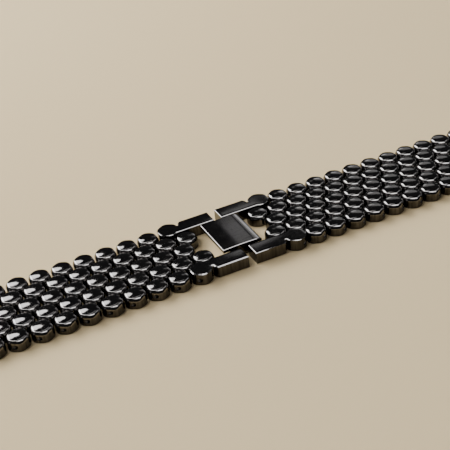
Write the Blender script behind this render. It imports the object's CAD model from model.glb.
# %% [markdown]
# # A fish scale watch band
# Five rows of small domed scales make a band that bends like cloth along its length and not at
# all across it. This lesson dresses the band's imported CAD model: it starts from the fixed frame,
# models each kind of piece once in millimetres, brings it to metres and copies it to its places.

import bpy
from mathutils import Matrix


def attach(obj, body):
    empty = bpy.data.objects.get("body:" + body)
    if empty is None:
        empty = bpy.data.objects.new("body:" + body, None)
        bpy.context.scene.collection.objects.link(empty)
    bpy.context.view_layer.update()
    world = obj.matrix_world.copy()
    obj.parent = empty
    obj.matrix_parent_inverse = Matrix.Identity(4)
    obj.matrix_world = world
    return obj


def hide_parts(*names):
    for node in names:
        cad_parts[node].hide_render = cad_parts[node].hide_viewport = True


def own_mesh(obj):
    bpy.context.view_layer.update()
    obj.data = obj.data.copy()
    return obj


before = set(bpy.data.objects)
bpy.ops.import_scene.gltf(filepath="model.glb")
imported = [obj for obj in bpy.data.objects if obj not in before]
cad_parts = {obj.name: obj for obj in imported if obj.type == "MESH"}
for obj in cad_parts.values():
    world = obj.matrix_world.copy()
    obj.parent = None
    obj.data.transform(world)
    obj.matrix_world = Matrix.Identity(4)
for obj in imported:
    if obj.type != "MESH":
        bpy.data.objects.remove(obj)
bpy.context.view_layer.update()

import math

import bmesh
import bpy
from mathutils import Quaternion, Vector

# %% [markdown]
# ## Sizes
# The frame's own boxes say where the pieces are. The sizes below repeat the ones that the CAD
# model was drawn from, in millimetres, because a box doesn't give the pitch of the scales or the
# place of a pin.

# %% The band's sizes in millimetres
MM = 0.001
SIDES = {"left": -1, "right": 1}
LINKS = 14
LINKS_WITH_PIN_NODES = 7
BAND_W, CORNER_CUT = 19.6, 0.2
SCALE_GAP = 0.28
PITCH = (BAND_W + 2 * CORNER_CUT + 2 * SCALE_GAP / math.sqrt(3)) * math.sqrt(3) / 8
ROW_STEP = PITCH * math.sqrt(3) / 2
FLAT_R = (PITCH - SCALE_GAP) / 2
POINT_R = (PITCH - SCALE_GAP) / math.sqrt(3)
WALL_H, SCALE_H = 1.95, 2.55
PIN_X, PIN_Z, PIN_R = PITCH / 4, 1.1, 0.45
FRAME_X = 9.9
END_X = FRAME_X + (LINKS + 1) * PITCH
BAR_X, BAR_R = 1.75, 0.5
HOLD_CLEARANCE, TURN_CLEARANCE, JAW_CLEARANCE = 0.01, 0.04, 0.06
print(f"pitch {PITCH:.4f} mm, rows {ROW_STEP:.3f} mm apart, last scales at {END_X:.2f} mm")

# %% [markdown]
# ## Camera
# The photo looks down at the closed clasp from the front left, through a long lens that is turned
# a little about its own axis. The place and turn come from matching the rows of scales, so they
# are given as a direction of view, a roll and a place.

# %% Place the camera
VIEW_AZ, VIEW_EL, VIEW_ROLL = (math.radians(a) for a in (22.613, 32.797, -6.337))
VIEW_PLACE = (-65.714, -155.328, 112.900)
FOCAL_PX, PHOTO_PX, SENSOR_WIDTH = 1050.7, 450, 36


def direction(azimuth, elevation):
    """A unit vector at an azimuth from +Y towards +X and at an elevation, in radians."""
    level = math.cos(elevation)
    return Vector((math.sin(azimuth) * level, math.cos(azimuth) * level, math.sin(elevation)))


def facing(way, axis, roll):
    """The rotation that points an object's axis along a way, rolled about its own Z."""
    return (way.to_track_quat(axis, "Y") @ Quaternion((0, 0, 1), roll)).to_euler()


camera = bpy.data.objects.new("camera", bpy.data.cameras.new("camera"))
bpy.context.scene.collection.objects.link(camera)
camera.data.lens = FOCAL_PX * SENSOR_WIDTH / PHOTO_PX
camera.data.clip_start, camera.data.clip_end = 0.01, 20
camera.location = Vector(VIEW_PLACE) * MM
camera.rotation_euler = facing(direction(VIEW_AZ, -VIEW_EL), "-Z", VIEW_ROLL)
bpy.context.scene.camera = camera
print(f"lens {camera.data.lens:.1f} mm")

# %% [markdown]
# ## Working by hand, in code
# Each operator works on all that is selected, and the loaded nodes come in selected. These small
# helpers do what the hand does in the viewport: clear the selection, take a piece, open it for
# editing and pick some of its faces or edges by their place or the way they face.

# %% Helpers for selecting
NEAR = 0.004


def take(*pieces):
    """Selects these pieces and nothing else, with the first one active."""
    if bpy.context.mode != "OBJECT":
        bpy.ops.object.mode_set(mode="OBJECT")
    bpy.ops.object.select_all(action="DESELECT")
    for piece in pieces:
        piece.select_set(True)
    if pieces:
        bpy.context.view_layer.objects.active = pieces[0]


def start_from(add, size_xyz=(1, 1, 1), **settings):
    """Adds a primitive with nothing else selected, and puts its place and size into its mesh."""
    take()
    add(**settings)
    bpy.context.object.scale = size_xyz
    bpy.ops.object.transform_apply(location=True, rotation=True, scale=True)
    return bpy.context.object


def pick(piece, kind, test):
    """Opens a piece for editing and selects only those faces, edges or verts that pass a test."""
    if bpy.context.mode != "EDIT_MESH":
        take(piece)
        bpy.ops.object.mode_set(mode="EDIT")
    bpy.ops.mesh.select_mode(type={"faces": "FACE", "edges": "EDGE", "verts": "VERT"}[kind])
    bpy.ops.mesh.select_all(action="DESELECT")
    mesh = bmesh.from_edit_mesh(piece.data)
    for part in [part for part in getattr(mesh, kind) if test(part)]:
        part.select_set(True)
    mesh.select_flush_mode()
    bmesh.update_edit_mesh(piece.data)


def edge_runs(edge, axis):
    """How far an edge runs along X, Y or Z, which are 0, 1 and 2."""
    return abs(edge.verts[0].co[axis] - edge.verts[1].co[axis])


def edge_at(edge, axis, value):
    """Whether both ends of an edge are at that value of X, Y or Z, or near enough."""
    return all(abs(v.co[axis] - value) < NEAR for v in edge.verts)


print("helpers ready")

# %% Helpers for copying, joining and cutting
def copy_of(master, place=(0, 0, 0), turn=0.0, flip_y=False):
    """Copies a piece with its own mesh, turned about Z, moved, and put into its mesh."""
    take(master)
    bpy.ops.object.duplicate()
    copy = bpy.context.object
    copy.location, copy.rotation_euler.z = place, turn
    if flip_y:
        copy.scale.y = -1
    bpy.ops.object.transform_apply(location=True, rotation=True, scale=True)
    if flip_y:
        pick(copy, "faces", lambda f: True)
        bpy.ops.mesh.normals_make_consistent(inside=False)
        take(copy)
    return copy


def join(*pieces):
    """Joins pieces into the first one."""
    take(*pieces)
    bpy.ops.object.join()
    return bpy.context.object


def carve(piece, tool, operation="DIFFERENCE"):
    """Cuts a tool out of a piece, or with UNION melts it in, and throws the tool away."""
    take(piece)
    bpy.ops.object.modifier_add(type="BOOLEAN")
    cut = piece.modifiers[-1]
    cut.operation, cut.object, cut.solver = operation, tool, "MANIFOLD"
    bpy.ops.object.modifier_apply(modifier=cut.name)
    bpy.data.objects.remove(tool)
    return piece


def cross_rod(radius, x, z, length, middle=0.0, sides=24):
    """A round rod that lies along Y."""
    return start_from(bpy.ops.mesh.primitive_cylinder_add, vertices=sides, radius=radius,
                      depth=length, location=(x, middle, z), rotation=(math.pi / 2, 0, 0))


def block(low, high):
    """A box between two corners, to start a piece from."""
    middle = [(a + b) / 2 for a, b in zip(low, high)]
    size = [b - a for a, b in zip(low, high)]
    return start_from(bpy.ops.mesh.primitive_cube_add, size, size=1, location=middle)


SMOOTH_UP_TO = math.radians(35)


def dress(piece, name, finish):
    """Brings a finished piece to metres, shades it and gives it its finish."""
    take(piece)
    piece.name = piece.data.name = name
    piece.scale = (MM, MM, MM)
    bpy.ops.object.transform_apply(location=True, rotation=True, scale=True)
    piece.data.materials.clear()
    piece.data.materials.append(finish)
    bpy.ops.object.shade_smooth_by_angle(angle=SMOOTH_UP_TO)
    bpy.ops.object.modifier_add(type="WEIGHTED_NORMAL")
    piece.modifiers[-1].keep_sharp = True
    bpy.ops.object.modifier_apply(modifier=piece.modifiers[-1].name)
    print(f"{name}: {len(piece.data.polygons)} faces")
    return piece


def hang(piece, body, slot, *nodes):
    """Lets a piece ride on its body, names its slot and hides the CAD nodes that it stands for."""
    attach(piece, body)
    if nodes:
        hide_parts(*nodes)


# %% [markdown]
# ## Finishes
# All the dark parts are steel under a thin black plating: a metal that mirrors little more than a
# tenth of the light, so it looks black until a lamp or window falls in its mirror direction. What
# makes it look real is what breaks the mirror up: faint smudges, hairline marks from the cloth
# that polished it, and upright marks on the cut walls. These are one node group, with the amounts
# as inputs, so that each finish can have its own.

# %% A node group for fine wear
def new_group(name, inputs, outputs):
    """An empty shader group with named sockets and their starting values."""
    group = bpy.data.node_groups.new(name, "ShaderNodeTree")
    for label, kind, value in inputs:
        socket = group.interface.new_socket(name=label, in_out="INPUT", socket_type=kind)
        socket.default_value = value
    for label, kind in outputs:
        group.interface.new_socket(name=label, in_out="OUTPUT", socket_type=kind)
    return group, group.nodes.new("NodeGroupInput"), group.nodes.new("NodeGroupOutput")


def math_node(tree, operation, *values):
    """A Math node whose inputs are sockets or numbers."""
    node = tree.nodes.new("ShaderNodeMath")
    node.operation = operation
    for socket, value in zip(node.inputs, values):
        if isinstance(value, (int, float)):
            socket.default_value = value
        else:
            tree.links.new(value, socket)
    return node.outputs[0]


def ranged(tree, value, low, high, to_low=0.0, to_high=1.0):
    """A Map Range node from one range of values to another, held at its ends."""
    node = tree.nodes.new("ShaderNodeMapRange")
    tree.links.new(value, node.inputs["Value"])
    ends = {"From Min": low, "From Max": high, "To Min": to_low, "To Max": to_high}
    for label, number in ends.items():
        node.inputs[label].default_value = number
    return node.outputs["Result"]


def stretched_noise(tree, coords, scale, turn, detail):
    """Noise that is drawn out along an axis: scale is how many features fit in a metre."""
    place = tree.nodes.new("ShaderNodeMapping")
    place.inputs["Rotation"].default_value = turn
    place.inputs["Scale"].default_value = scale
    noise = tree.nodes.new("ShaderNodeTexNoise")
    noise.inputs["Scale"].default_value = 1.0
    noise.inputs["Detail"].default_value = detail
    tree.links.new(coords, place.inputs["Vector"])
    tree.links.new(place.outputs["Vector"], noise.inputs["Vector"])
    return noise.outputs["Fac"]


HAIRLINE_DEPTH = 0.25


def build_fine_wear():
    """Masks for smudges, hairlines and wall marks, and the roughness and height they give."""
    number = "NodeSocketFloat"
    group, given, result = new_group(
        "fine_wear",
        [("Roughness", number, 0.12), ("Smudges", number, 0.05),
         ("Hairlines", number, 0.1), ("Wall marks", number, 1.0)],
        [("Roughness", number), ("Height", number),
         ("Smudge mask", number), ("Wall mask", number)])
    coords = group.nodes.new("ShaderNodeTexCoord")

    def noise(scale, turn=0.0, detail=2):
        return stretched_noise(group, coords.outputs["Object"], scale, (0, 0, turn), detail)

    smudge = ranged(group, noise((420, 420, 420), detail=3), 0.38, 0.68)
    along = ranged(group, noise((330, 8200, 8200), turn=0.35), 0.62, 0.72)
    across = ranged(group, noise((7600, 420, 7600), turn=-0.5), 0.64, 0.74)
    lines = math_node(group, "MAXIMUM", along, across)
    split = group.nodes.new("ShaderNodeSeparateXYZ")
    group.links.new(coords.outputs["Normal"], split.inputs[0])
    upright = ranged(group, math_node(group, "ABSOLUTE", split.outputs["Z"]), 0.5, 0.1)
    marks = math_node(group, "MULTIPLY", noise((4200, 4200, 260), detail=3), upright)
    streaks = ranged(group, noise((2600, 2600, 200)), 0.35, 0.6, 1.0, 0.55)

    dulled = math_node(group, "MULTIPLY_ADD", smudge, given.outputs["Smudges"],
                       given.outputs["Roughness"])
    scratched = math_node(group, "MULTIPLY", lines, given.outputs["Hairlines"])
    raised = math_node(group, "MULTIPLY", marks, given.outputs["Wall marks"])
    sunk = math_node(group, "MULTIPLY", lines, HAIRLINE_DEPTH)
    results = {"Roughness": math_node(group, "ADD", dulled, scratched),
               "Height": math_node(group, "SUBTRACT", raised, sunk),
               "Smudge mask": smudge,
               "Wall mask": math_node(group, "MULTIPLY", streaks, upright)}
    for label, value in results.items():
        group.links.new(value, result.inputs[label])
    return group


FINE_WEAR = build_fine_wear()
print("fine_wear takes", [s.name for s in FINE_WEAR.interface.items_tree if s.in_out == "INPUT"])

# %% [markdown]
# The finishes differ in their own colours and in how much of the wear they take. The colour runs
# between a base and a slightly worn tone along the smudges, because skin and cloth dull a plating
# there first. The Principled shader stays in each material.

# %% The finishes
def mix_colour(tree, factor, a, b):
    """A colour Mix node between two colours or colour sockets."""
    mix = tree.nodes.new("ShaderNodeMix")
    mix.data_type = "RGBA"
    tree.links.new(factor, mix.inputs["Factor"])
    for label, value in (("A", a), ("B", b)):
        if isinstance(value, tuple):
            mix.inputs[label].default_value = (*value, 1)
        else:
            tree.links.new(value, mix.inputs[label])
    return mix.outputs["Result"]


def metal_finish(name, base, worn, wall, roughness, smudges, hairlines, wall_marks, depth):
    """A metal whose colour, roughness and height come from fine_wear, each with its own amounts."""
    finish = bpy.data.materials.new(name)
    finish.use_nodes = True
    tree = finish.node_tree
    shader = tree.nodes["Principled BSDF"]
    shader.inputs["Metallic"].default_value = 1.0
    wear = tree.nodes.new("ShaderNodeGroup")
    wear.node_tree = FINE_WEAR
    amounts = {"Roughness": roughness, "Smudges": smudges, "Hairlines": hairlines,
               "Wall marks": wall_marks}
    for label, value in amounts.items():
        wear.inputs[label].default_value = value
    tone = mix_colour(tree, wear.outputs["Smudge mask"], base, worn)
    tone = mix_colour(tree, wear.outputs["Wall mask"], tone, wall)
    bump = tree.nodes.new("ShaderNodeBump")
    bump.inputs["Strength"].default_value = 1.0
    bump.inputs["Distance"].default_value = depth
    tree.links.new(tone, shader.inputs["Base Color"])
    tree.links.new(wear.outputs["Roughness"], shader.inputs["Roughness"])
    tree.links.new(wear.outputs["Height"], bump.inputs["Height"])
    tree.links.new(bump.outputs["Normal"], shader.inputs["Normal"])
    finish.diffuse_color = (*base, 1)
    return finish


PLATED_WALL = (0.049, 0.0455, 0.041)
BLACK_PLATING = metal_finish(
    "black_plating", base=(0.125, 0.12, 0.12), worn=(0.15, 0.14, 0.135), wall=PLATED_WALL,
    roughness=0.07, smudges=0.05, hairlines=0.06, wall_marks=1.0, depth=4e-6)
CLASP_PLATING = metal_finish(
    "clasp_plating", base=(0.12, 0.115, 0.115), worn=(0.145, 0.14, 0.135), wall=PLATED_WALL,
    roughness=0.08, smudges=0.05, hairlines=0.08, wall_marks=1.0, depth=4e-6)
DARK_PIN = metal_finish(
    "dark_pin", base=(0.07, 0.066, 0.062), worn=(0.1, 0.095, 0.09), wall=(0.06, 0.055, 0.05),
    roughness=0.3, smudges=0.15, hairlines=0.1, wall_marks=0.4, depth=3e-6)
SPRING_STEEL = metal_finish(
    "spring_steel", base=(0.6, 0.6, 0.61), worn=(0.5, 0.5, 0.5), wall=(0.5, 0.5, 0.5),
    roughness=0.2, smudges=0.12, hairlines=0.1, wall_marks=0.6, depth=3e-6)
print("finishes:", [m.name for m in bpy.data.materials])

# %% [markdown]
# ## The scale
# Each scale is a small hexagonal pebble: its corners point at the band's edges, its upright
# corners are well rounded, and its top is a low dome that drops steeply at the rim. The steep
# rim catches thin streaks of light and the low dome mirrors the windows as a broad patch, so the
# rings below follow that profile, and each one is also drawn a little towards a circle.

# %% Model one scale
WALL_TOP = 1.50
PILLOW = [(0.97, 1.71), (0.935, 1.915), (0.885, 2.13), (0.83, 2.26), (0.77, 2.336),
          (0.66, 2.387), (0.42, 2.474)]
CORNER_ROUNDING, FOOT_CHAMFER, PULL_TO_CIRCLE = 0.75, 0.12, 0.12


def hexagon(x, y, low, high):
    """A scale's outline as an upright prism, with its six corners well rounded."""
    prism = start_from(bpy.ops.mesh.primitive_cylinder_add, vertices=6, radius=POINT_R,
                       depth=high - low, location=(x, y, (low + high) / 2))
    pick(prism, "edges", lambda e: edge_runs(e, 2) > 1)
    bpy.ops.mesh.bevel(offset=CORNER_ROUNDING, segments=3, affect="EDGES")
    take(prism)
    return prism


def model_scale():
    """The walls as a prism, then one ring after the other up to the dome's middle."""
    scale = hexagon(0, 0, 0, WALL_TOP)
    pick(scale, "edges", lambda e: edge_at(e, 2, 0))
    bpy.ops.mesh.bevel(offset=FOOT_CHAMFER, segments=1, affect="EDGES")
    pick(scale, "faces", lambda f: f.normal.z > 0.9)
    reach, height = 1.0, WALL_TOP
    for share, z in PILLOW:
        bpy.ops.mesh.extrude_region_move(TRANSFORM_OT_translate={"value": (0, 0, z - height)})
        bpy.ops.transform.resize(value=(share / reach, share / reach, 1),
                                 center_override=(0, 0, 0))
        bpy.ops.transform.tosphere(value=PULL_TO_CIRCLE)
        reach, height = share, z
    bpy.ops.mesh.extrude_region_move(TRANSFORM_OT_translate={"value": (0, 0, SCALE_H - height)})
    bpy.ops.mesh.merge(type="CENTER")
    take(scale)
    return scale


SCALE = model_scale()
print(f"one scale: {len(SCALE.data.polygons)} faces,",
      " x ".join(f"{size:.2f}" for size in SCALE.dimensions), "mm")

# %% [markdown]
# ## The link
# A link is five scales in one piece: three in line across the band and two between them, half a
# pitch nearer the clasp. Short webs low down tie each scale to the next, and only show from
# underneath and in the gaps. Two cross holes are drilled through the joined piece, one for its own
# pin and one that turns on the neighbour's pin, so a pin's end shows as a small dark dot in the
# outer walls.

# %% Model the link
def five_scales():
    """Three scales in line and the two that lie between them, nearer the clasp."""
    places = [(0, row * ROW_STEP, 0) for row in (-2, 0, 2)]
    places += [(-PITCH / 2, row * ROW_STEP, 0) for row in (-1, 1)]
    return [copy_of(SCALE, place) for place in places]


WEB_HALF_L, WEB_HALF_W, WEB_LOW, WEB_TOP, WEB_EASE = 0.75, 0.8, 0.3, 1.4, 0.15
WEB_ROWS_AND_TURNS = ((0, 240), (2, 240), (-2, 120), (0, 120))


def four_webs():
    """The bars between neighbouring scales, each with its upper edges eased."""
    webs = []
    half = PITCH / 2
    for row, slope in WEB_ROWS_AND_TURNS:
        turn = math.radians(slope)
        web = block((-WEB_HALF_L, -WEB_HALF_W, WEB_LOW), (WEB_HALF_L, WEB_HALF_W, WEB_TOP))
        pick(web, "edges", lambda e: edge_at(e, 2, WEB_TOP) and edge_runs(e, 0) > 1)
        bpy.ops.mesh.bevel(offset=WEB_EASE, segments=2, affect="EDGES")
        take(web)
        web.location = (half * math.cos(turn), row * ROW_STEP + half * math.sin(turn), 0)
        web.rotation_euler.z = turn
        bpy.ops.object.transform_apply(location=True, rotation=True, scale=True)
        webs.append(web)
    return webs


def tied_scales():
    """The five scales with the webs melted into them."""
    return carve(join(*five_scales()), join(*four_webs()), "UNION")


SCALES = tied_scales()
LINK = copy_of(SCALES)
carve(LINK, cross_rod(PIN_R + HOLD_CLEARANCE, PIN_X, PIN_Z, 6 * ROW_STEP))
carve(LINK, cross_rod(PIN_R + TURN_CLEARANCE, PIN_X - PITCH, PIN_Z, 4 * ROW_STEP))
dress(LINK, "link", BLACK_PLATING)

# %% [markdown]
# A link pin is a plain rod, pushed in flush and a little below the wall. Its ends are cut and
# chamfered, and a shallow dimple is left where the punch drove it.

# %% Model the link pin
WALL_TURN = math.radians(30)
WALL_AT_PIN = 2 * ROW_STEP + (FLAT_R - PIN_X / 2) / math.cos(WALL_TURN)
PIN_RECESS = 0.06
PIN_HALF = WALL_AT_PIN - (PIN_R + HOLD_CLEARANCE) * math.tan(WALL_TURN) - PIN_RECESS
ROD_CHAMFER = 0.06
DIMPLE_SHARE, DIMPLE_FLOOR, DIMPLE_DEPTH = 0.45, 0.6, 0.08


def model_rod(radius, x, z, half):
    """A rod along Y with chamfered ends, and a shallow dimple in each end."""
    rod = cross_rod(radius, x, z, 2 * half, sides=20)
    for end in (-1, 1):
        pick(rod, "edges", lambda e: edge_at(e, 1, end * half))
        bpy.ops.mesh.bevel(offset=ROD_CHAMFER, segments=2, affect="EDGES")
        pick(rod, "faces", lambda f: f.normal.y * end > 0.99)
        bpy.ops.mesh.inset(thickness=radius * (1 - DIMPLE_SHARE))
        inwards = (0, -end * DIMPLE_DEPTH, 0)
        bpy.ops.mesh.extrude_region_move(TRANSFORM_OT_translate={"value": inwards})
        bpy.ops.transform.resize(value=(DIMPLE_FLOOR, 1, DIMPLE_FLOOR), center_override=(x, 0, z))
    take(rod)
    return rod


LINK_PIN = dress(model_rod(PIN_R, PIN_X, PIN_Z, PIN_HALF), "link_pin", DARK_PIN)

# %% [markdown]
# The two halves of the band mirror each other, but a link is the same on its front and back edge,
# so a half turn about Z does what a mirror would, without turning the faces inside out. Each copy
# has its own mesh and rides on its own link's body. The last seven links of each half carry their
# pin in their own CAD node, and the pins of the others are nodes of their own.

# %% Lay out the links and their pins
def lay(master, name, side, x):
    """A named copy of a right-hand piece, in its place in either half."""
    turn = 0 if side == "right" else math.pi
    piece = copy_of(master, (SIDES[side] * x * MM, 0, 0), turn)
    piece.name = piece.data.name = name
    return piece


for side in SIDES:
    for k in range(1, LINKS + 1):
        body, x = f"{side}_link_{k:02d}", FRAME_X + k * PITCH
        hang(lay(LINK, f"{side}_scales_{k:02d}", side, x), body, "plated_steel", body)
        pin_node = [f"{side}_link_pin_{k:02d}"] if k <= LINKS_WITH_PIN_NODES else []
        hang(lay(LINK_PIN, f"{side}_pin_{k:02d}", side, x), body, "pin_steel", *pin_node)
print(2 * LINKS, "links and pins laid")

# %% [markdown]
# ## The clasp's frames
# Each half ends at the clasp in a frame: its two outer scales run out into flat arms that carry
# the hinge pin or the latch bar between them. On the real clasp an arm and its scale are one flat
# top, and only a narrow notch in the outer wall tells them apart. So a block and a scale-shaped
# prism are melted together first, and then all the top edges are chamfered at once, which lets
# one bright line run round the whole piece. The top is drawn in and raised a little, because it
# was polished by hand and isn't quite flat. Two arms are made: a crisp one, and one with a wider
# chamfer for the front arm of the left half, whose edges are worn rounder than the others.

# %% Model an arm
ARM_END_GAP, ARM_INSET = 1.6, 0.65
ARM_START, ARM_IN, ARM_OUT = ARM_END_GAP / 2 - FRAME_X, 5.85, BAND_W / 2 - ARM_INSET
ARM_H, ARM_CROWN, CROWN_INSET = SCALE_H, 0.05, 0.5
ARM_ROW = 2 * ROW_STEP
NOTCH_IN = ARM_ROW + 0.4
CRISP_CHAMFER, WORN_CHAMFER, ARM_FOOT_CHAMFER = 0.1, 0.17, 0.1
CUTTER_SPARE = 0.5


def is_outline(edge, z):
    """Whether an edge lies at that height and is a real corner, not a line across a flat."""
    return edge_at(edge, 2, z) and edge.calc_face_angle(0) > 1


def model_arm(chamfer):
    """An arm and its scale, with a chamfer of that width round the top."""
    flat = ARM_H - ARM_CROWN
    arm = block((ARM_START, ARM_IN, 0), (0, ARM_OUT, flat))
    notch = block((-PITCH, NOTCH_IN, -CUTTER_SPARE),
                  (CUTTER_SPARE, ARM_OUT + 2 * CUTTER_SPARE, ARM_H + CUTTER_SPARE))
    for x in (-PITCH, 0):
        carve(notch, hexagon(x, ARM_ROW, -2 * CUTTER_SPARE, ARM_H + 2 * CUTTER_SPARE))
    carve(arm, notch)
    carve(arm, hexagon(0, ARM_ROW, 0, flat), "UNION")
    pick(arm, "faces", lambda f: True)
    bpy.ops.mesh.dissolve_limited(angle_limit=math.radians(2))
    pick(arm, "edges", lambda e: is_outline(e, flat))
    bpy.ops.mesh.bevel(offset=chamfer, segments=1, affect="EDGES")
    pick(arm, "edges", lambda e: is_outline(e, 0))
    bpy.ops.mesh.bevel(offset=ARM_FOOT_CHAMFER, segments=1, affect="EDGES")
    pick(arm, "faces", lambda f: f.normal.z > 0.99)
    bpy.ops.mesh.inset(thickness=CROWN_INSET, depth=ARM_CROWN)
    take(arm)
    return arm


CRISP_ARM, WORN_ARM = model_arm(CRISP_CHAMFER), model_arm(WORN_CHAMFER)
print(f"arm: {len(CRISP_ARM.data.polygons)} faces, {CRISP_ARM.dimensions.x:.2f} mm long")

# %% [markdown]
# Both frames are modelled as right-hand ones, and the left one is then turned round by half a
# turn. So the arm at the back of its model comes to the front, and that is the worn one.

# %% Put the frames together
BAR_INSET, BAR_ROOM = 0.4, 0.03
BAR_HALF = ARM_OUT - BAR_INSET


def model_frame(back_arm):
    """A right-hand frame: two arms with their scales, the three inner scales and the webs."""
    places = ((0, 0, 0), (-PITCH / 2, -ROW_STEP, 0), (-PITCH / 2, ROW_STEP, 0))
    inner = [copy_of(SCALE, place) for place in places]
    body = join(copy_of(back_arm), copy_of(CRISP_ARM, flip_y=True), *inner)
    carve(body, join(*four_webs()), "UNION")
    carve(body, cross_rod(PIN_R + HOLD_CLEARANCE, PIN_X, PIN_Z, 6 * ROW_STEP))
    bar_hole = cross_rod(BAR_R + BAR_ROOM, BAR_X - FRAME_X, PIN_Z, 2 * (BAR_HALF + BAR_ROOM))
    return carve(body, bar_hole)


FRAMES = {side: dress(model_frame(arm), f"{side}_frame_piece", CLASP_PLATING)
          for side, arm in (("left", WORN_ARM), ("right", CRISP_ARM))}
for side in SIDES:
    body = f"{side}_frame"
    frame_piece = lay(FRAMES[side], f"{side}_clasp_frame", side, FRAME_X)
    hang(frame_piece, body, "plated_steel", body)
    pin_piece = lay(LINK_PIN, f"{side}_clasp_pin", side, FRAME_X)
    hang(pin_piece, body, "pin_steel", f"{side}_frame_pin")

# %% [markdown]
# The hinge pin and the latch bar are thicker rods through both arms of a frame. They show only
# between the arms and the plate: their ends were ground flush with the arms and plated over, so
# the outer faces stay whole and the rods stop just inside them.

# %% The hinge pin and the latch bar
hinge_rod = dress(model_rod(BAR_R, BAR_X, PIN_Z, BAR_HALF), "hinge_rod", DARK_PIN)
hang(hinge_rod, "right_frame", "pin_steel", "hinge_pin")
latch_rod = dress(model_rod(BAR_R, -BAR_X, PIN_Z, BAR_HALF), "latch_rod", DARK_PIN)
hang(latch_rod, "latch_bar", "pin_steel", "latch_bar")

# %% [markdown]
# ## The cover plate
# The plate is a thin, slightly crowned slab. Its free edge and sides have a crisp chamfer that
# flashes in the light, and towards the hinge its top rolls down, which draws a soft bright band
# there. Under it two cheeks hold the hinge pin at one end and hook over the latch bar at the
# other. The top is made from a grid whose columns are lowered one by one.

# %% Model the plate
PLATE_L, PLATE_W, PLATE_TOP, PLATE_CROWN, PLATE_T = 8.1, 10.3, 2.8, 0.1, 0.69
PLATE_BASE = PLATE_TOP - PLATE_CROWN - PLATE_T
ROLL_X, ROLL_DROP, COLUMNS = 2.5, 0.26, 24
HINGE_EDGE_ROUNDING, UNDER_EDGE_ROUNDING, RIM_CHAMFER = 0.22, 0.12, 0.1


def plate_drop(x):
    """How far the plate's top lies below its crown: an arc, and a roll towards the hinge."""
    rolled = max(0, (x - ROLL_X) / (PLATE_L / 2 - ROLL_X))
    return PLATE_CROWN * (2 * x / PLATE_L) ** 2 + ROLL_DROP * rolled ** 2


def on_crisp_rim(edge):
    """Whether an edge of the plate lies on its free edge or sides, above the underside."""
    above = all(v.co.z > PLATE_BASE + 0.05 for v in edge.verts)
    rims = ((0, -PLATE_L / 2), (1, -PLATE_W / 2), (1, PLATE_W / 2))
    return above and any(edge_at(edge, axis, value) for axis, value in rims)


def model_plate():
    """The plate from a grid, with its columns lowered and its three kinds of edge eased."""
    plate = start_from(bpy.ops.mesh.primitive_grid_add, (PLATE_L, PLATE_W, 1), size=1,
                       x_subdivisions=COLUMNS, y_subdivisions=1, location=(0, 0, PLATE_TOP))
    for column in range(COLUMNS + 1):
        x = PLATE_L * (column / COLUMNS - 0.5)
        pick(plate, "verts", lambda v: abs(v.co.x - x) < 0.01)
        bpy.ops.transform.translate(value=(0, 0, -plate_drop(x)))
    pick(plate, "faces", lambda f: True)
    bpy.ops.mesh.extrude_region_move(TRANSFORM_OT_translate={"value": (0, 0, -PLATE_T)})
    bpy.ops.transform.resize(value=(1, 1, 0), center_override=(0, 0, PLATE_BASE))
    pick(plate, "faces", lambda f: True)
    bpy.ops.mesh.normals_make_consistent(inside=False)
    hinge_z = PLATE_TOP - plate_drop(PLATE_L / 2)
    pick(plate, "edges", lambda e: edge_at(e, 0, PLATE_L / 2) and edge_at(e, 2, hinge_z))
    bpy.ops.mesh.bevel(offset=HINGE_EDGE_ROUNDING, segments=4, affect="EDGES")
    pick(plate, "edges", lambda e: edge_at(e, 0, PLATE_L / 2) and edge_at(e, 2, PLATE_BASE))
    bpy.ops.mesh.bevel(offset=UNDER_EDGE_ROUNDING, segments=2, affect="EDGES")
    pick(plate, "edges", on_crisp_rim)
    bpy.ops.mesh.bevel(offset=RIM_CHAMFER, segments=1, affect="EDGES")
    take(plate)
    return plate


PLATE = model_plate()
print(f"plate: {len(PLATE.data.polygons)} faces, {PLATE.dimensions.z:.2f} mm high")

# %% Model a cheek with its jaw, and put the cover together
CHEEK_R, CHEEK_T, CHEEK_Y, CHEEK_ROUNDING = 0.92, 0.8, 4.2, 0.88
MOUTH_HALF, MOUTH_SLANT, MOUTH_SPARE = 0.56, 0.34, 0.4


def model_cheek(low_y):
    """A cheek with the hinge pin's hole, and a jaw whose mouth opens downwards."""
    reach = BAR_X + CHEEK_R
    low_z = PIN_Z - CHEEK_R
    cheek = block((-reach, low_y, low_z), (reach, low_y + CHEEK_T, PLATE_BASE + PLATE_T / 2))
    pick(cheek, "edges", lambda e: edge_at(e, 2, low_z) and edge_runs(e, 1) > 0.1)
    bpy.ops.mesh.bevel(offset=CHEEK_ROUNDING, segments=8, affect="EDGES")
    take(cheek)
    middle = low_y + CHEEK_T / 2
    carve(cheek, cross_rod(BAR_R + TURN_CLEARANCE, BAR_X, PIN_Z, 2 * CHEEK_T, middle))
    carve(cheek, cross_rod(BAR_R + JAW_CLEARANCE, -BAR_X, PIN_Z, 2 * CHEEK_T, middle))
    mouth = block((-BAR_X - MOUTH_HALF, low_y - MOUTH_SPARE, -1),
                  (-BAR_X + MOUTH_HALF, low_y + CHEEK_T + MOUTH_SPARE, PIN_Z))
    pick(mouth, "verts", lambda v: v.co.z < 0 and v.co.x > -BAR_X)
    bpy.ops.transform.translate(value=(MOUTH_SLANT, 0, 0))
    take(mouth)
    return carve(cheek, mouth)


COVER = carve(PLATE, model_cheek(CHEEK_Y), "UNION")
COVER = carve(COVER, model_cheek(-CHEEK_Y - CHEEK_T), "UNION")
dress(COVER, "clasp_cover", CLASP_PLATING)
hang(COVER, "cover", "plated_steel", "cover_plate")

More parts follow.
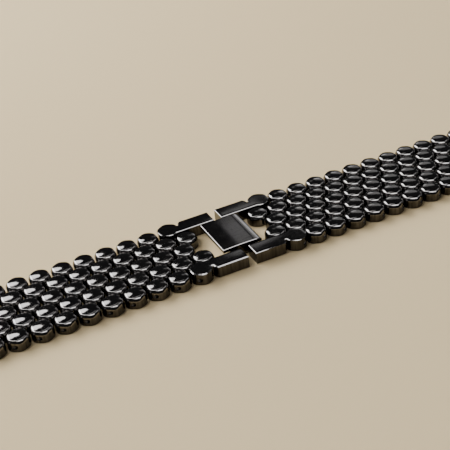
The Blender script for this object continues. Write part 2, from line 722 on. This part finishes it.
# %% [markdown]
# ## The watch ends
# The last piece of each half has the same five scales and runs out into a round bar that fits
# between the watch's lugs. The spring bar goes through it: a tube that holds a coil and two
# sliding tips. The photo cuts both ends off, so they follow the usual make of such a band.

# %% Model the end piece
LUG_INSET, LUG_X, LUG_R, LUG_EASE = 0.1, 3.3, SCALE_H / 2, 0.15
LUG_W = BAND_W - 2 * LUG_INSET
TUBE_R, TUBE_EASE = 0.75, 0.1


def eased_rod(radius, length, ease, sides):
    """A rod on the spring bar's axis, with both end edges eased."""
    rod = cross_rod(radius, LUG_X, LUG_R, length, sides=sides)
    pick(rod, "edges", lambda e: edge_at(e, 1, length / 2) or edge_at(e, 1, -length / 2))
    bpy.ops.mesh.bevel(offset=ease, segments=2, affect="EDGES")
    take(rod)
    return rod


def model_end_piece():
    """Five scales that run out through a neck into the bar between the lugs."""
    neck = block((0, -LUG_W / 2, 0), (LUG_X, LUG_W / 2, WALL_H))
    bar = eased_rod(LUG_R, LUG_W, LUG_EASE, sides=48)
    piece = carve(copy_of(SCALES), carve(neck, bar, "UNION"), "UNION")
    carve(piece, cross_rod(PIN_R + TURN_CLEARANCE, PIN_X - PITCH, PIN_Z, 4 * ROW_STEP))
    return carve(piece, cross_rod(TUBE_R + TURN_CLEARANCE, LUG_X, LUG_R, 2 * LUG_W))


END_PIECE = dress(model_end_piece(), "end_piece", BLACK_PLATING)
for side in SIDES:
    body = f"{side}_end_piece"
    hang(lay(END_PIECE, f"{side}_lug_end", side, END_X), body, "plated_steel", body)

# %% [markdown]
# A spring bar's tip slides in the tube against the coil: a collar keeps it in, a flange gives the
# fingernail or tool its hold, and the thin pivot goes into the lug. The tip is one cylinder, drawn
# out step by step. The coil is a real helix, made by the Screw modifier from a small circle. Each
# half of it shortens with its own tip.

# %% Model the spring bar's tube and tips
TUBE_INSET, TUBE_BORE, TUBE_END_WALL = 1.8, 0.57, 0.36
TUBE_L = LUG_W - 2 * TUBE_INSET
SHAFT_R, FLANGE_R, PIVOT_R = 0.3, 0.6, 0.4
COLLAR_R, COLLAR_L = TUBE_BORE - TURN_CLEARANCE, 0.6
COLLAR_END = TUBE_L / 2 - TUBE_END_WALL
COLLAR_START = COLLAR_END - COLLAR_L
FLANGE_L, FLANGE_OUT = 0.6, 0.1
SHOULDER = LUG_W / 2 + FLANGE_OUT
PIVOT_L, PIVOT_CHAMFER = 1.2, 0.1


def model_tube():
    """The tube: a wide bore that stops short of both ends, and a narrow one for the shafts."""
    tube = eased_rod(TUBE_R, TUBE_L, TUBE_EASE, sides=32)
    carve(tube, cross_rod(TUBE_BORE, LUG_X, LUG_R, TUBE_L - 2 * TUBE_END_WALL, sides=32))
    return carve(tube, cross_rod(SHAFT_R + TURN_CLEARANCE, LUG_X, LUG_R, 2 * TUBE_L, sides=32))


def model_tip(end):
    """A tip from its collar outwards, towards +Y for end 1 and -Y for end -1."""
    tip = cross_rod(COLLAR_R, LUG_X, LUG_R, COLLAR_L, end * (COLLAR_START + COLLAR_L / 2))
    pick(tip, "faces", lambda f: f.normal.y * end > 0.9)
    radius, y = COLLAR_R, COLLAR_END
    pivot_end = SHOULDER + PIVOT_L
    steps = [(SHAFT_R, COLLAR_END), (SHAFT_R, SHOULDER - FLANGE_L),
             (FLANGE_R, SHOULDER - FLANGE_L), (FLANGE_R, SHOULDER),
             (PIVOT_R, SHOULDER), (PIVOT_R, pivot_end - PIVOT_CHAMFER),
             (PIVOT_R - PIVOT_CHAMFER, pivot_end)]
    for next_radius, next_y in steps:
        outwards = (0, end * (next_y - y), 0)
        bpy.ops.mesh.extrude_region_move(TRANSFORM_OT_translate={"value": outwards})
        share = next_radius / radius
        bpy.ops.transform.resize(value=(share, 1, share), center_override=(LUG_X, 0, LUG_R))
        radius, y = next_radius, next_y
    take(tip)
    return tip


TUBE = dress(model_tube(), "spring_tube", SPRING_STEEL)
ENDS = {"front": -1, "back": 1}
TIPS = {edge: dress(model_tip(end), f"{edge}_tip", SPRING_STEEL) for edge, end in ENDS.items()}

# %% Wind the coil and lay out the spring bars
COIL_TURNS, COIL_STEPS, WIRE_R = 14, 12, 0.075
COIL_R = TUBE_BORE - 0.13


def model_half_coil(end):
    """Half of the coil, from the tube's middle to a tip's collar."""
    wire = start_from(bpy.ops.mesh.primitive_circle_add, vertices=6, radius=WIRE_R,
                      location=(COIL_R, 0, 0), rotation=(math.pi / 2, 0, 0))
    bpy.ops.object.modifier_add(type="SCREW")
    screw = wire.modifiers[-1]
    screw.axis, screw.angle = "Z", 2 * math.pi
    screw.iterations, screw.steps = COIL_TURNS, COIL_STEPS
    screw.screw_offset = (COLLAR_START - 2 * WIRE_R) / COIL_TURNS
    bpy.ops.object.modifier_apply(modifier=screw.name)
    pick(wire, "edges", lambda e: e.is_boundary)
    bpy.ops.mesh.edge_face_add()
    pick(wire, "faces", lambda f: True)
    bpy.ops.mesh.normals_make_consistent(inside=False)
    take(wire)
    wire.rotation_euler.x = -end * math.pi / 2
    wire.location = (LUG_X, end * WIRE_R, LUG_R)
    bpy.ops.object.transform_apply(location=True, rotation=True, scale=True)
    return wire


COILS = {edge: dress(model_half_coil(end), f"{edge}_half_coil", SPRING_STEEL)
         for edge, end in ENDS.items()}
for side in SIDES:
    bar = f"{side}_spring_bar"
    hang(lay(TUBE, f"{side}_bar_tube", side, END_X), bar, "spring_steel", f"{bar}_tube")
    for edge, other in (("front", "back"), ("back", "front")):
        made = edge if side == "right" else other
        tip = lay(TIPS[made], f"{side}_bar_{edge}_tip", side, END_X)
        hang(tip, f"{bar}_{edge}_tip", "spring_steel", f"{bar}_{edge}_tip")
        coil = lay(COILS[made], f"{side}_bar_{edge}_coil", side, END_X)
        hang(coil, bar, "spring_steel", f"{bar}_coil")
        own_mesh(coil)

# %% [markdown]
# The masters that the copies came from have done their work.

# %% Clear the masters away
for master in (SCALE, SCALES, LINK, LINK_PIN, CRISP_ARM, WORN_ARM, *FRAMES.values(),
               END_PIECE, TUBE, *TIPS.values(), *COILS.values()):
    bpy.data.objects.remove(master)

# %% [markdown]
# ## Floor and light
# A black mirror shows the room, so the light is made of oval soft panels, each where its
# reflection belongs. Two windows at the back left and a high one at the left draw the bright
# patches on the left scales, two panels at the front light the front rims and chamfers, and a
# small one at the right makes the faint streaks. A dim panel at the back right gives the soft
# grey arcs and the band on the plate, a dim one high up is seen by what leans towards the camera,
# and two small cards close by turn the plate's right half grey and light its rolled edge. The
# near panels are near on purpose: both halves of the band see them from another side. The front
# panels don't light the floor, so the band's shadow falls towards the camera.

# %% The floor
FLOOR = start_from(bpy.ops.mesh.primitive_plane_add, size=6, location=(0, 0, 0))
FLOOR.name = "floor"
floor_finish = bpy.data.materials.new("pale_floor")
floor_finish.use_nodes = True
floor_shader = floor_finish.node_tree.nodes["Principled BSDF"]
floor_shader.inputs["Base Color"].default_value = (0.69, 0.545, 0.32, 1)
floor_shader.inputs["Specular IOR Level"].default_value = 0.0
floor_shader.inputs["Roughness"].default_value = 0.7
FLOOR.data.materials.append(floor_finish)

# %% The light panels
def light_panel(name, azimuth, elevation, width, height, roll, far, glow, shape="ELLIPSE"):
    """A soft panel that faces the clasp.

    Its angles and its size are in degrees, far is in metres, and glow is its radiance.
    """
    away = direction(math.radians(azimuth), math.radians(elevation))
    panel = bpy.data.objects.new(name, bpy.data.lights.new(name, "AREA"))
    bpy.context.scene.collection.objects.link(panel)
    panel.data.shape = shape
    panel.data.size = 2 * far * math.tan(math.radians(width / 2))
    panel.data.size_y = 2 * far * math.tan(math.radians(height / 2))
    area = panel.data.size * panel.data.size_y * (math.pi / 4 if shape == "ELLIPSE" else 1)
    panel.data.energy = glow * math.pi * area
    panel.location = away * far
    panel.rotation_euler = facing(away, "Z", math.radians(-roll))
    return panel


# name, azimuth, elevation, width, height, roll, far, glow
light_panel("back_window", -19, 38, 36, 18, 30, 0.3, 9)
light_panel("left_window", -37, 31, 55, 29, -26, 2.0, 13)
light_panel("left_high", -88, 57, 46, 15, -42, 1.6, 9)
front = [light_panel("front_left", 202, 50, 36, 36, 41, 1.1, 3.4),
         light_panel("front_softbox", 165, 49.5, 58, 32, 34, 0.3, 8),
         light_panel("right_panel", 98, 40.5, 40, 16, 43, 1.2, 2.6)]
light_panel("grey_core", 39, 24, 16, 21, 57, 0.3, 0.65)
light_panel("grey_card", 25.0, 33.4, 5.2, 4.4, -38, 0.2, 0.6, "RECTANGLE")
light_panel("edge_card", 36, 21, 8, 5, -38, 0.2, 1.4, "RECTANGLE")
light_panel("top_panel", 17, 70, 38, 12, -40, 0.42, 1.5)
for panel in front:
    panel.visible_diffuse = False

world = bpy.data.worlds.new("dim_room")
bpy.context.scene.world = world
world.use_nodes = True
world.node_tree.nodes["Background"].inputs["Color"].default_value = (0.05, 0.05, 0.052, 1)
